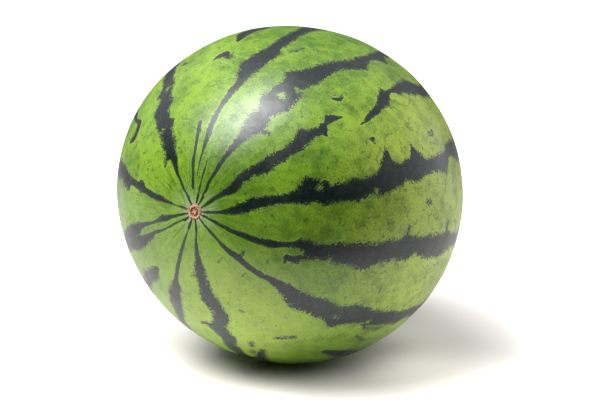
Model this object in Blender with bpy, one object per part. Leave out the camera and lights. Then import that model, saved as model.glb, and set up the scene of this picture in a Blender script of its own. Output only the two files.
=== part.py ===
"""A round striped watermelon, lying on its side as one closed solid.

Metres, +Z up. The fruit's axis runs along Y, with the blossom end at -Y and raised a little.
The origin is at the bottom, in the middle of the fruit, at the level of the small flat spot
that it rests on.
"""

from math import asin, atan2, cos, exp, pi, radians, sin

import bmesh
import bpy
from mathutils import Matrix, Vector

MM = 0.001

# Size of the fruit
LENGTH = 0.2264
WIDTH = 0.2202
BLOSSOM_END_RAISED = radians(5.0)
REST_SPOT_RADIUS = 0.018

# Cross section: longer one way, and a little three-cornered. Turns run from the top towards +X.
OVAL = 0.016
OVAL_TURN = radians(-69.0)
THREE_CORNERED = 0.0055
THREE_CORNERED_TURN = radians(49.0)

# Shallow valleys along the fruit, one under each stripe
VALLEY_TURNS = (-155.0, -110.0, -78.0, -36.0, 6.0, 30.0, 49.0, 75.0, 102.0, 132.0, 182.0)
VALLEY_DEPTH = 0.35 * MM
VALLEY_HALF_WIDTH = radians(8.0)

# Dimples at the two ends
BLOSSOM_DIMPLE_DEPTH = 1.2 * MM
BLOSSOM_DIMPLE_RADIUS = 13.0 * MM
STEM_DIMPLE_DEPTH = 3.6 * MM
STEM_DIMPLE_RADIUS = 15.0 * MM

# Corky scars: (distance from the axis, height above the rind)
BLOSSOM_SCAR = (
    (0.0 * MM, 0.35 * MM),
    (1.2 * MM, 0.30 * MM),
    (2.3 * MM, -0.45 * MM),
    (3.1 * MM, 0.40 * MM),
    (3.8 * MM, 0.35 * MM),
    (4.6 * MM, 0.0 * MM),
)
STEM_SCAR = (
    (0.0 * MM, -0.5 * MM),
    (1.6 * MM, -0.7 * MM),
    (3.0 * MM, -0.3 * MM),
    (4.0 * MM, 0.9 * MM),
    (5.2 * MM, 0.7 * MM),
    (6.6 * MM, 0.0 * MM),
)

# Mesh
SEGMENTS = 72
END_RING_RADII = (6.5 * MM, 9.0 * MM, 12.5 * MM, 17.0 * MM)
FIRST_WIDE_RING = radians(12.0)
WIDE_RINGS = 31
WELD = 0.00001

# Finish of the rind
RIND_GREEN = (0.24, 0.42, 0.10, 1.0)
RIND_ROUGHNESS = 0.32
SMOOTH_UNDER = radians(40.0)


def clear_scene():
    for thing in list(bpy.data.objects):
        bpy.data.objects.remove(thing, do_unlink=True)


def end_outline(scar, dimple_depth, dimple_radius):
    """Points from the end's middle outwards: (distance from the axis, depth behind the tip)."""
    heights = dict(scar)
    points = []
    for radius in sorted(list(heights) + [r for r in END_RING_RADII if r > scar[-1][0]]):
        round_off = LENGTH / 2 * (1 - cos(asin(radius / (WIDTH / 2))))
        dimple = dimple_depth * exp(-((radius / dimple_radius) ** 2))
        points.append((radius, round_off + dimple - heights.get(radius, 0.0)))
    return points


def half_outline():
    """The outline that is turned round the axis, from the blossom end to the stem end."""
    blossom = end_outline(BLOSSOM_SCAR, BLOSSOM_DIMPLE_DEPTH, BLOSSOM_DIMPLE_RADIUS)
    stem = end_outline(STEM_SCAR, STEM_DIMPLE_DEPTH, STEM_DIMPLE_RADIUS)
    outline = [(radius, -LENGTH / 2 + depth) for radius, depth in blossom]
    for ring in range(WIDE_RINGS):
        share = ring / (WIDE_RINGS - 1)
        angle = FIRST_WIDE_RING + (pi - 2 * FIRST_WIDE_RING) * share
        radius = WIDTH / 2 * sin(angle)
        dimple = BLOSSOM_DIMPLE_DEPTH * exp(-((radius / BLOSSOM_DIMPLE_RADIUS) ** 2))
        if angle > pi / 2:
            dimple = -STEM_DIMPLE_DEPTH * exp(-((radius / STEM_DIMPLE_RADIUS) ** 2))
        outline.append((radius, -LENGTH / 2 * cos(angle) + dimple))
    outline += [(radius, LENGTH / 2 - depth) for radius, depth in reversed(stem)]
    return outline


def swell(turn, radius):
    """How much the cross section grows at this turn round the axis, as a share of its radius."""
    oval = OVAL * cos(2 * (turn - OVAL_TURN))
    three = THREE_CORNERED * cos(3 * (turn - THREE_CORNERED_TURN))
    valley = 0.0
    for middle in VALLEY_TURNS:
        away = (turn - radians(middle) + pi) % (2 * pi) - pi
        valley += exp(-((away / VALLEY_HALF_WIDTH) ** 2))
    fade = (radius / (WIDTH / 2)) ** 2
    return 1 + oval + three - valley * fade * VALLEY_DEPTH / (WIDTH / 2)


def turned_body():
    """The outline spun round Y, with its ends closed."""
    body = bmesh.new()
    verts = [body.verts.new((0.0, along, radius)) for radius, along in half_outline()]
    edges = [body.edges.new(pair) for pair in zip(verts, verts[1:])]
    bmesh.ops.spin(
        body,
        geom=verts + edges,
        cent=(0, 0, 0),
        axis=(0, 1, 0),
        angle=2 * pi,
        steps=SEGMENTS,
        use_merge=True,
    )
    bmesh.ops.remove_doubles(body, verts=body.verts, dist=WELD)
    for vert in body.verts:
        radius = Vector((vert.co.x, vert.co.z)).length
        factor = swell(atan2(vert.co.x, vert.co.z), radius)
        vert.co.x *= factor
        vert.co.z *= factor
    return body


def cut_rest_spot(body):
    """Cuts the small flat spot, as deep as a ball of this width needs for its radius."""
    bottom = min(vert.co.z for vert in body.verts)
    half = WIDTH / 2
    depth = half - (half**2 - REST_SPOT_RADIUS**2) ** 0.5
    cut = bmesh.ops.bisect_plane(
        body,
        geom=body.verts[:] + body.edges[:] + body.faces[:],
        plane_co=(0, 0, bottom + depth),
        plane_no=(0, 0, -1),
        dist=WELD,
        clear_outer=True,
    )
    rim = [item for item in cut["geom_cut"] if isinstance(item, bmesh.types.BMEdge)]
    bmesh.ops.edgenet_fill(body, edges=rim)


def stand_on_origin(body):
    low = Vector([min(vert.co[i] for vert in body.verts) for i in range(3)])
    high = Vector([max(vert.co[i] for vert in body.verts) for i in range(3)])
    middle = (low + high) / 2
    bmesh.ops.translate(body, verts=body.verts, vec=(-middle.x, -middle.y, -low.z))


def rind_material():
    material = bpy.data.materials.new("rind")
    material.use_nodes = True
    shader = material.node_tree.nodes["Principled BSDF"]
    shader.inputs["Base Color"].default_value = RIND_GREEN
    shader.inputs["Roughness"].default_value = RIND_ROUGHNESS
    shader.inputs["Metallic"].default_value = 0.0
    return material


def make_watermelon():
    body = turned_body()
    tilt = Matrix.Rotation(-BLOSSOM_END_RAISED, 3, "X")
    bmesh.ops.transform(body, matrix=tilt, verts=body.verts)
    cut_rest_spot(body)
    stand_on_origin(body)
    bmesh.ops.recalc_face_normals(body, faces=body.faces)
    mesh = bpy.data.meshes.new("watermelon")
    body.to_mesh(mesh)
    body.free()
    mesh.shade_smooth()
    mesh.set_sharp_from_angle(angle=SMOOTH_UNDER)
    mesh.materials.append(rind_material())
    melon = bpy.data.objects.new("watermelon", mesh)
    bpy.context.collection.objects.link(melon)


clear_scene()
make_watermelon()
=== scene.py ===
"""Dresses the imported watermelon: a fine striped rind, its two corky scars, and a plain studio stage."""

from math import atan2, cos, pi, radians, sin
from random import Random

import bmesh
import bpy
import numpy as np
from bpy.props import FloatProperty, FloatVectorProperty, IntProperty, PointerProperty
from mathutils import Matrix, Vector, noise


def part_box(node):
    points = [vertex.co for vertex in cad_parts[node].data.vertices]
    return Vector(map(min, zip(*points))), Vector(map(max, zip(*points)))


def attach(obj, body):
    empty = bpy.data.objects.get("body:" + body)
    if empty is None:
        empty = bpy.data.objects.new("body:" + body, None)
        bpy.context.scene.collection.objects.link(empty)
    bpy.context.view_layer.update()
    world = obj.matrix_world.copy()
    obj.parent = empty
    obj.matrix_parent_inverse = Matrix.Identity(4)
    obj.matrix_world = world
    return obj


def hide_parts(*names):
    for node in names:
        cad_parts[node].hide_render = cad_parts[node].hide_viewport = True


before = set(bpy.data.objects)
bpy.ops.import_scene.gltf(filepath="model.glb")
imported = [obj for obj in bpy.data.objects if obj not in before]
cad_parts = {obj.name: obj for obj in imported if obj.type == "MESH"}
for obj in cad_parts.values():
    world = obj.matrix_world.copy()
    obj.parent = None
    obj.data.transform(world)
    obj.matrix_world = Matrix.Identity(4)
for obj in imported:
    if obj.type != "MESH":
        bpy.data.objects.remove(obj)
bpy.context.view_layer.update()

bl_info = {
    "name": "Striped Watermelon",
    "version": (1, 0, 0),
    "blender": (4, 5, 0),
    "location": "View3D > Sidebar > Watermelon",
    "description": "Makes a round striped watermelon with its scars on a plain stage",
    "category": "Add Mesh",
}

MM = 0.001
NODE = "watermelon"
BODY = "root"

# Stripes as they grow from the blossom end. Each station is an angle from that end, then the turns of the
# stripe's two edges, all in degrees. Turns run round the axis from the top of the fruit towards +X.
STRIPES = {
    "over_top": (
        (10.5, -0.2, 0.8), (13, -0.5, 1.2), (15, -0.4, 1.6), (18, 0, 2.3), (21, 0, 3.9), (24, -0.4, 4.3),
        (27, 0, 4.3), (30, 0.7, 4.3), (33, 1.4, 4.6), (36, 2.1, 5.4), (39, 2.9, 6.4), (42, 3.6, 7.9),
        (45, 3.9, 8.9), (48, 2.1, 10), (50, 1.8, 10.4), (52, 0, 11.1), (54, 1.1, 11.4), (56, 2.3, 11.6),
        (58, 3, 12.4), (60, 4.5, 12.9), (61.5, 5, 12.8), (63, 5.2, 10.7), (66, 5.4, 11.2), (70, 5.7, 11),
        (75, 5.7, 10.6), (80, 5, 10), (85, 4.3, 10),
    ),
    "short_stroke": (
        (4.5, 10, 13), (7, 10, 13), (9, 9.4, 12.5), (11, 8.8, 11.9), (13, 8.6, 12), (14.5, 9.4, 11.2),
        (17, 8.7, 10), (18.3, 9.1, 9.6),
    ),
    "upper_right": (
        (4.7, 28, 31.5), (6, 25.6, 30), (7, 24.4, 30), (8, 24.4, 32), (9, 23.8, 30.6), (10, 23, 28.3),
        (12, 23, 28), (15, 23.3, 28.7), (17, 23, 28.3), (20, 23.5, 28.2), (25, 24.3, 30), (28, 23.5, 31.5),
        (30, 22.9, 32.9), (33, 22.6, 35.2), (35, 22.5, 34.7), (38, 23.6, 32), (40, 22, 33), (43, 21, 35.4),
        (45, 20.7, 35), (48, 21.8, 34.3), (50, 22.9, 34.3), (52, 22, 32.5), (54, 20.6, 32.2),
        (57, 23.6, 33.2), (60, 25, 33.6), (63, 26.8, 33.2), (66, 26.8, 32.9), (69, 28.2, 33.2),
        (72, 29.6, 34.6), (75, 30.4, 36.6), (77, 30.4, 37.1), (80, 30.4, 35.4), (83, 30.7, 33.9),
        (86, 30.4, 33.9), (89, 29.6, 35), (91, 29.3, 36.4), (94, 28.5, 33), (100, 27.5, 32),
    ),
    "right_inner": (
        (4.7, 52.5, 62), (5, 50.6, 61.3), (7, 50.8, 61), (9, 50.8, 59.4), (11, 51.3, 59.4),
        (13, 50.6, 62.5), (15, 49.4, 62.3), (17, 48.3, 60), (18, 47.5, 58), (20, 46.4, 56), (23, 48.2, 56),
        (25, 48.6, 57.9), (27, 48.2, 58.6), (28.5, 47.5, 57.9), (31, 48.6, 56), (34, 49.3, 56),
        (37, 48.6, 55.7), (40, 46.4, 54.6), (41.5, 44.6, 54.3), (44, 47.5, 52.9), (47, 48.9, 52.9),
        (48, 48.2, 54.6), (49.5, 48.4, 50.5), (51, 46, 50), (53, 46.8, 50), (54.5, 48.6, 50), (56, 49.7, 50),
    ),
    "right_outer": (
        (58.8, 55.1, 55.4), (61, 54.3, 55.2), (63, 52.9, 55), (65, 51.8, 54.3), (68, 50.7, 53.9),
        (70, 49.6, 52.9), (72, 47.5, 52.1), (74, 46, 51.8), (75.2, 45, 51.4), (76.5, 46.8, 49.3),
        (78, 46.4, 47.9), (80, 46.4, 48.2), (82, 45.4, 49.3), (84, 45, 48.9), (86, 44.3, 49.3),
        (89, 44, 50), (91, 43.6, 50), (94, 44.3, 50.4), (97, 45.7, 51.4), (100, 45.7, 51.2), (105, 44, 50),
    ),
    "widest": (
        (4.2, 82, 87.5), (5, 81.3, 88), (7, 81.3, 88.6), (9, 81.3, 87.5), (11, 79.4, 87.5), (13, 76.3, 88),
        (15, 74.8, 87), (17, 73.6, 86), (19, 71.8, 84), (21, 71.6, 83), (24, 72.1, 81.4), (26, 73.9, 80.4),
        (28, 74.6, 80.4), (30, 74.3, 80.4), (32, 73.6, 80.7), (34, 71.4, 81.4), (36.4, 67.5, 81.8),
        (38, 68.9, 81.4), (40, 70.4, 82.5), (41.5, 72, 82.9), (44, 74.3, 82.9), (47, 74.6, 82.5),
        (49, 73.6, 82.5), (51, 73.2, 82.9), (53, 73.6, 82.1), (56, 73.6, 80.7), (58, 73.2, 81.4),
        (60, 72.5, 81.4), (61.5, 70, 81), (63, 67.1, 80.7), (64.4, 65, 80), (65.5, 70, 79.6),
        (67, 71.1, 79.3), (69, 71.4, 77.5), (71, 71.1, 77.9), (73, 70.4, 78.6), (74.8, 66.2, 78.9),
        (76.5, 68.6, 77.9), (78, 70, 77.1), (80, 71.8, 76.8), (83, 72.1, 76.4), (86, 71.4, 76.8),
        (89, 71, 77.1), (91, 70.7, 78.2), (93, 70.4, 76.4), (95, 68.2, 72.9), (98, 67.9, 72.1),
        (100, 67.5, 72.9), (104, 66.8, 74.3), (108, 67, 74),
    ),
    "lower_right": (
        (3.6, 101.5, 108.5), (5, 102.5, 110), (7, 103, 111.3), (9, 105, 111.9), (11, 105.6, 111.9),
        (13, 106.7, 112.4), (15, 106, 112), (17, 105.8, 112.3), (20, 106.1, 111.8), (23, 105.4, 111.4),
        (26, 104.6, 110.4), (28, 104.3, 108.9), (30, 103.6, 106.8), (32, 102.5, 106.1), (34, 99.8, 106.1),
        (36, 99.6, 106.8), (37.5, 100, 110.4), (39, 100.7, 109.3), (41, 101, 108.6), (44, 100, 108.6),
        (47, 99.3, 108.6), (50, 98.9, 108.2), (53, 98.6, 108.6), (56, 98.2, 108.2), (58, 98.2, 107.5),
        (60, 97.9, 106), (63, 97, 105), (66, 97, 104.6), (68, 96, 104.6), (69.8, 94.5, 104.4),
        (71, 95.4, 104.3), (74, 96.4, 102.5), (77, 96.4, 102.9), (80, 96, 103.9), (83, 96.4, 103.9),
        (86, 96.4, 104.3), (89, 96.4, 105), (91, 95.5, 104.3), (94, 96.8, 103.2), (98, 97.9, 102.9),
        (102, 98, 103),
    ),
    "low_front": (
        (4.6, 132, 137), (7, 129.4, 137.3), (9, 130, 136.3), (11, 130.6, 135.6), (13, 130.6, 136.3),
        (15, 130.3, 136.4), (17, 129, 135.8), (19, 128.5, 134.9), (20, 128.2, 134.3), (23, 129.3, 133.9),
        (26, 128.9, 133.2), (28, 128.6, 132.9), (30, 127.9, 131.8), (33, 126.8, 132.1), (35, 126.8, 132.5),
        (38, 126.1, 135), (40, 126.1, 136), (42, 125.7, 136.4), (44, 125.7, 135.7), (46, 125.7, 135),
        (49, 125, 134.6), (52, 125, 135), (54, 125.4, 134.6), (56, 125.7, 136), (57.5, 124.6, 136.8),
        (59, 123.6, 135.7), (61, 123.2, 133.6), (63, 122.9, 132.5), (65, 123.6, 131.4), (68, 124.3, 130.7),
        (70, 123.9, 131.8), (73, 124.3, 131.4), (76, 123.9, 130.7), (80, 124.6, 130.4), (85, 124.3, 130.7),
        (90, 123.6, 128.6), (95, 124, 130),
    ),
    "beneath": ((67, 148.5, 150.2), (69, 147.5, 151), (72, 147, 151.5), (75, 146, 152), (80, 146, 153)),
    "bottom": (
        (4.4, 168, 176), (5, 168.8, 174.4), (7, 170.6, 176.3), (9, 173, 178.8), (11, 172.5, 180),
        (13, 173, 181), (15, 171.9, 180.8), (17, 171.4, 181.4), (19, 170.7, 183.2), (20.7, 171, 184.5),
        (22, 171, 181.8), (24, 171.4, 181.8), (26, 171, 182.5), (28, 169.6, 182.9), (30, 168.9, 181.8),
        (32, 168.9, 180.7), (34, 168.2, 178.6), (35.5, 167.5, 178.2), (38, 169.6, 179.6), (40, 172.5, 181),
        (41.7, 174.3, 185), (43, 174.6, 185), (45, 174.3, 183.6), (48, 173.6, 182.5), (50, 174.6, 182.1),
        (53, 177, 182.5), (56, 176.4, 183.6), (58, 177, 184), (60, 178, 183.5),
    ),
    "low_left": (
        (4.5, -160, -158.5), (7, -160.8, -157.4), (10, -161.2, -156), (14, -160.7, -155.3),
        (18, -159.6, -155), (22, -159.3, -155), (25, -158.9, -155), (27, -159.8, -154.5),
        (28.5, -162.1, -153.2), (31, -161.8, -151.8), (34, -161, -151.4), (38, -160.7, -151.4),
        (42, -160.4, -152), (46, -159.3, -154), (50, -159, -154),
    ),
    "left_low_patch": (
        (28.3, -140.7, -138.5), (30, -141.5, -136), (31, -141.6, -135), (33, -143.2, -134.3),
        (36, -141.4, -132.1), (39, -139.3, -130), (42, -138.6, -130.7), (46, -138, -131),
    ),
    "left_fork_low": (
        (3.6, -131.5, -128), (5, -127.5, -122.5), (7, -125, -120), (9, -123.8, -119.4),
        (11, -123.1, -119.4), (13, -122.3, -118.5), (15, -121.3, -118), (17, -120.6, -116.3),
        (19, -119.3, -115.7), (21, -122.1, -115.4), (24, -122.1, -115), (27, -122.1, -115),
        (29, -122.1, -112), (31, -122.1, -112), (34, -121.4, -112), (37, -119.3, -112), (40, -118.6, -112),
        (45, -118.2, -109.3),
    ),
    "left_fork_high": (
        (4.5, -106.5, -104.5), (5, -106.3, -102.5), (7, -109.4, -102.5), (9, -110, -101.3),
        (11, -110.6, -101.3), (13, -110.8, -101), (14, -110, -102.1), (15.5, -109.8, -104.5),
        (18, -109.5, -106.4), (21, -109.6, -106.1), (24, -110, -105.7), (26, -111.4, -104.3),
        (28, -113.5, -105), (31, -114, -105), (34, -114, -105.7), (37, -114, -106.4), (40, -113.5, -107.9),
        (45, -113, -109),
    ),
    "left": (
        (4, -79.4, -76.5), (5, -80.6, -77.5), (7, -81.9, -77.5), (9, -81.9, -76.3), (11, -82.5, -75.3),
        (13, -83.1, -74.6), (15, -83.8, -75.5), (17, -83.2, -76.3), (19, -83.6, -76.4), (20, -82.1, -76.4),
        (22, -82.1, -75.7), (23.5, -82.1, -72.9), (25, -81.8, -73.9), (27, -81, -76), (29, -81, -76),
        (31, -81.8, -76), (32.3, -86.4, -76), (34, -84.3, -75.7), (36, -84.3, -75.7), (38, -84.6, -74.6),
        (39.5, -81.4, -74.6), (41, -82.1, -75), (44, -84.3, -75), (50, -83.5, -75.5),
    ),
    "left_rim": ((47, -57.5, -56), (52, -59, -56), (56, -60, -56)),
    "upper_left": (
        (4.3, -32.5, -29), (5, -34.4, -27.7), (7, -35, -30), (9, -35.6, -30.6), (11, -35, -30.3),
        (13, -36.3, -31.9), (15, -37, -30.6), (17, -37, -29.3), (18.7, -37.5, -28.6), (19.6, -42.5, -28.5),
        (22, -41.8, -28.2), (24, -41, -27.1), (26, -41, -28.9), (28, -41, -29.3), (30, -41.4, -28.9),
        (32, -42.5, -27.9), (33.5, -42.5, -31), (36, -42.9, -31.8), (38, -43.6, -31.4), (40, -42.9, -29.6),
        (41.5, -41, -30.4), (43, -39.6, -31.4), (45, -39.6, -31.8), (46.5, -42, -31.4), (48, -39.6, -31.4),
        (50, -38.9, -31.4), (52, -38.6, -32), (54, -38.9, -32.9), (57, -40, -33.2), (60, -41, -35),
    ),
    "top_rim": ((65.3, -9.5, -8.5), (68, -11, -8), (71, -13, -8), (75, -14.5, -7.5)),
}

# Where each stripe that runs the whole length meets the stem end: its turn there, and its middle half width
TO_STEM = {
    "over_top": (6, 3.4), "upper_right": (27, 3.2), "right_outer": (49, 3.6), "widest": (73, 4.6),
    "lower_right": (99, 3.8), "low_front": (124, 4.2), "beneath": (150, 3.6), "bottom": (178, 4.2),
    "low_left": (-158, 4.4), "left_low_patch": (-133, 3.2), "left_fork_low": (-111, 4.4),
    "left": (-82, 4.0), "left_rim": (-60, 2.8), "upper_left": (-38, 4.2), "top_rim": (-13, 3.2),
}

# Spurs and separate marks as strokes: (angle, turn, half width in mm) from point to point
DARK_STROKES = (
    ((7.5, -7.6, 0.3), (13, -7.8, 0.5), (16, -8.4, 0.8), (19, -7.2, 0.4), (26, -7, 0.9), (28.5, -7.1, 0.9)),
    ((18.2, -45.5, 0.3), (19.8, -41, 0.9)),
    ((33.5, 34, 1.2), (33.5, 37.5, 0.2)),
    ((69.8, 95, 1.0), (69.8, 92.5, 0.2)),
    ((91, 96, 1.2), (90.5, 92.3, 0.3)),
    ((37, 109, 1.6), (33.5, 112.4, 1.5), (31.8, 112.5, 1.6), (31.8, 116, 0.2)),
    ((19.6, 128.5, 0.8), (19.6, 123, 0.2)),
    ((41.8, 184, 1.4), (42, 189, 0.3)),
    ((20.8, 183.5, 0.9), (21.2, 186.3, 0.2)),
    ((55.7, 166.8, 1.2), (60, 170.5, 2.8), (66, 174, 4.0)),
    ((50.2, 167.2, 0.6), (51.5, 168.3, 1.2), (53, 169.6, 0.7)),
    ((56.5, 171.4, 0.7), (58, 172.6, 1.1)),
    ((42.3, -63.3, 1.5), (40.8, -60, 2.4), (41.8, -57, 2.6), (43.8, -54.6, 2.2), (45.2, -54.4, 1.2)),
    ((45, -55, 0.9), (48, -56.2, 1.0)),
    ((55, -13.2, 0.6), (56.4, -11.8, 2.0), (57.5, -9.8, 2.9), (56.5, -8.6, 1.8), (55.2, -6.2, 1.5),
     (55, -5.2, 0.5)),
    ((63.6, 14.3, 0.5), (65, 16, 0.9), (67.5, 16.8, 0.4)),
    ((69.7, 21, 0.6), (69.9, 22, 0.4)),
    ((57, 41.6, 0.6), (58.6, 43.2, 0.9), (60.6, 42.7, 0.2)),
    ((60, 60.8, 0.3), (61.6, 61.2, 0.6), (60.8, 62, 0.3)),
    ((86.3, 64.4, 0.5), (88.5, 64.2, 0.7)),
    ((77.6, 85.6, 0.5), (79.4, 85.7, 0.8)),
    ((53.2, 149, 0.5), (51.6, 152.2, 0.9), (50.4, 155.3, 0.4)),
    ((71, 137.4, 0.4), (73.5, 138, 1.1), (77, 139.2, 0.6)),
    ((70.5, 132.6, 0.6), (78.5, 132.3, 0.8)),
    ((58.3, -26, 0.4), (59.6, -30, 0.9)),
)

# Soft dark green strokes that never turn black
FAINT_STROKES = (
    ((4.2, -142.5, 0.2), (7, -140, 0.3), (12, -138.2, 0.2)),
    ((5.5, -45, 0.3), (8, -44, 0.5)),
    ((35.4, 158.4, 0.8), (34.6, 159.6, 0.9)),
    ((28.9, -69, 0.7), (29.6, -67, 0.8)),
    ((28.8, -56.4, 0.4), (29.8, -58.4, 0.7)),
    ((36.8, -54.6, 0.5), (36.4, -53.4, 0.5)),
    ((16.2, 145, 0.4), (16.9, 152.5, 0.6)),
    ((24.2, 137, 0.3), (24.4, 142, 0.4)),
    ((26.8, 119, 0.4), (27.4, 121, 0.5)),
    ((65.2, 114, 0.4), (65.4, 117.4, 0.6)),
    ((50.8, 115, 0.4), (51.2, 116, 0.5)),
    ((45, 149.6, 0.5), (45.2, 150.4, 0.5)),
    ((28, -20, 0.4), (29, -20, 0.4)),
    ((11.3, -55, 0.4), (12.4, -54.4, 0.4)),
)

# Light islands inside the stripes: (angle, turn, radius in mm)
ISLANDS = (
    (46, 27.5, 2.3), (51, 30.3, 1.7), (40, 74.4, 0.9), (30.3, -37.2, 0.8), (48, -34.3, 1.5),
    (57.5, 79.6, 0.8), (69.5, 129.8, 0.7), (57, 131.5, 0.6), (44, 107.3, 0.8), (35, 177, 0.6),
)


def number_setting(name, description, default, **kind):
    return FloatProperty(name=name, description=description, default=default, **kind)


def length_setting(name, description, default):
    return number_setting(name, description, default, unit="LENGTH")


def angle_setting(name, description, degrees):
    return number_setting(name, description, radians(degrees), subtype="ANGLE")


def row_setting(name, description, default, **kind):
    return FloatVectorProperty(
        name=name, description=description, size=len(default), default=default, **kind)


def colour_setting(name, description, shade):
    return row_setting(name, description, (*shade, 1), subtype="COLOR")


class MelonShape(bpy.types.PropertyGroup):
    """Size and form of the fruit"""

    length: length_setting("Length", "From end to end along the axis, before the dimples", 0.2264)
    width: length_setting("Width", "Middle width across the axis", 0.2202)
    blossom_end_raised: angle_setting(
        "Blossom end raised", "How far the axis tips up at the blossom end", 5)
    rest_spot_radius: length_setting(
        "Rest spot radius", "Radius of the flat spot that the fruit rests on", 0.018)
    oval: number_setting("Oval", "Share by which the cross section is longer one way", 0.016)
    oval_turn: angle_setting("Oval turn", "Where the cross section is longest", -69)
    three_cornered: number_setting(
        "Three-cornered", "Share by which the cross section has three corners", 0.0055)
    three_cornered_turn: angle_setting("Corner turn", "Where the first corner is", 49)
    valley_depth: length_setting("Valley depth", "Depth of the shallow valley under each stripe", 0.35 * MM)
    valley_half_width: angle_setting("Valley half width", "Half width of each valley", 8)
    blossom_dimple_depth: length_setting(
        "Blossom dimple depth", "Depth of the dimple at the blossom end", 1.2 * MM)
    blossom_dimple_radius: length_setting("Blossom dimple radius", "Spread of that dimple", 13 * MM)
    stem_dimple_depth: length_setting("Stem dimple depth", "Depth of the dimple at the stem end", 3.6 * MM)
    stem_dimple_radius: length_setting("Stem dimple radius", "Spread of that dimple", 15 * MM)
    lump_height: length_setting(
        "Lump height", "Height of the soft unevenness of a grown surface", 0.22 * MM)
    segments: IntProperty(name="Segments", description="Faces round the axis", default=400, min=24)
    rings: IntProperty(name="Rings", description="Faces from end to end", default=236, min=24)


class RindLook(bpy.types.PropertyGroup):
    """Colours and shine of the rind"""

    light_green: colour_setting("Light green", "The pale ground between the stripes", (0.245, 0.435, 0.024))
    # Painted light: besides being yellower, this ground is lighter, as if more light fell on those sides
    lit_lime_green: colour_setting(
        "Lime green", "The yellower ground at the right and low in front", (0.54, 0.70, 0.068))
    fringe: colour_setting("Fringe", "Thin pale rim of the ground along each stripe", (0.36, 0.47, 0.12))
    # Painted shade: besides its clouds, this deeper green darkens the ground on the shaded sides
    deep_green_and_shade: colour_setting("Deep green", "Darker clouds in the pale ground", (0.070, 0.170, 0.006))
    vein_green: colour_setting("Vein green", "Fine net and specks on the pale ground", (0.035, 0.085, 0.006))
    stripe_green: colour_setting("Stripe green", "The near black stripes", (0.004, 0.011, 0.010))
    stripe_light: colour_setting("Stripe light", "Paler threads inside the stripes", (0.019, 0.034, 0.035))
    stripe_rim: colour_setting(
        "Stripe rim", "Dark green just inside the stripe edges", (0.016, 0.046, 0.008))
    halo: colour_setting("Halo", "Pale greyish pleats and ring round each scar", (0.44, 0.55, 0.33))
    roughness: number_setting("Roughness", "Middle roughness of the waxy skin", 0.33, subtype="FACTOR")


class CorkLook(bpy.types.PropertyGroup):
    """Colours and roughness of the scars"""

    tan: colour_setting("Tan", "Dry cork of the scars", (0.50, 0.21, 0.085))
    pale: colour_setting("Pale", "Bleached high spots of the cork", (0.72, 0.50, 0.34))
    brown: colour_setting("Brown", "Dark grooves and pits of the cork", (0.17, 0.040, 0.013))
    roughness: number_setting("Roughness", "Roughness of the dry cork", 0.8, subtype="FACTOR")


class MelonStage(bpy.types.PropertyGroup):
    """Camera, floor and light"""

    lens: number_setting("Lens", "Focal length in mm on a 36 mm sensor", 85)
    azimuth: angle_setting("Azimuth", "Turn of the camera round the fruit", 29.57)
    elevation: angle_setting("Elevation", "Height angle of the camera", 12.66)
    distance: length_setting("Distance", "From the camera to the middle of the fruit", 0.939)
    middle_right: length_setting(
        "Frame middle right", "How far right of the fruit's middle the camera aims", 10.3 * MM)
    middle_down: length_setting(
        "Frame middle down", "How far below the fruit's middle the camera aims", 10.8 * MM)
    floor_white: colour_setting("Floor", "The pale floor", (0.87, 0.84, 0.82))
    floor_ends: row_setting(
        "Floor ends", "Between these two distances in front the floor sends back no light", (0.17, 0.33),
        unit="LENGTH")
    floor_fades: row_setting(
        "Floor fades", "Between these two distances the floor fades to white", (0.105, 0.30), unit="LENGTH")
    # Painted light: the floor round the shadow is made brighter for the camera only
    floor_veil: number_setting(
        "Floor veil", "How much the floor round the shadow is brightened for the camera", 0.28)
    floor_tint: colour_setting("Floor tint", "Tint of that brightening near the fruit", (1, 0.93, 0.89))
    # Painted light: the floor near the fruit glows and lights it, though it is no lamp
    floor_glow: row_setting(
        "Floor glow", "How much the floor glows near the fruit: left in front, right, all round",
        (0.29, 0.21, 0.03))
    key: number_setting("Key light", "Its power in watts", 14.4)
    key_core: number_setting("Key light's core", "Power in watts of its brighter middle", 6.5)
    fill: number_setting("Fill", "Factor on the power of all other lights", 1.0)
    left_wall: number_setting("Left brightness", "Brightness of the studio at the left of the fruit", 0.09)
    back_wall: number_setting("Back brightness", "Brightness of the studio behind the fruit", 0.2)
    top: number_setting("Ceiling brightness", "Brightness of the ceiling", 0.65)


# Turns of the shallow valleys that run along the fruit, one under each stripe, in degrees
VALLEY_TURNS = (-155, -110, -78, -36, 6, 30, 49, 75, 102, 132, 182)

# Corky scars: (distance from the axis, height above the rind), both in mm
BLOSSOM_SCAR = ((0, 0.35), (1.2, 0.30), (2.3, -0.45), (3.1, 0.40), (3.8, 0.35), (4.6, 0.0))
STEM_SCAR = ((0, -0.5), (1.6, -0.7), (3.0, -0.3), (4.0, 0.9), (5.2, 0.7), (6.6, 0.0))

# How the unseen stretches of the stripes grow, in degrees along the fruit and round it
STRIPE_SEED = 7
STEM_MEETING = 176.0
GROWN_STEP = (2.0, 4.4)
SETTLE_OVER = 14.0
MEANDER = 1.5
MEANDER_BENDS = 5
WIDTH_SPREAD = (0.7, 1.2)
RAGGED = 1.0
SPUR_CHANCE = 0.14
SPUR_REACH = (1.8, 4.2)
LEAST_HALF_WIDTH = 1.0

# Marks scattered over the side that isn't seen, in degrees, and their half width in mm. Nearer to the
# blossom end than FAR_FROM, only the turns out of sight get one
FAR_MARKS = 26
FAR_ANGLES = (70, 150)
FAR_FROM = 105
UNSEEN_TURNS = (-170, 10)
ALL_TURNS = (-180, 180)
FAR_REACH = (1.5, 4.5)
FAR_LEAN = (-2, 2)
FAR_HALF_WIDTH = (0.5, 1.3)

# Strokes are drawn this much wider than listed, in mm
STROKE_GROWTH = 0.5

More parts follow.
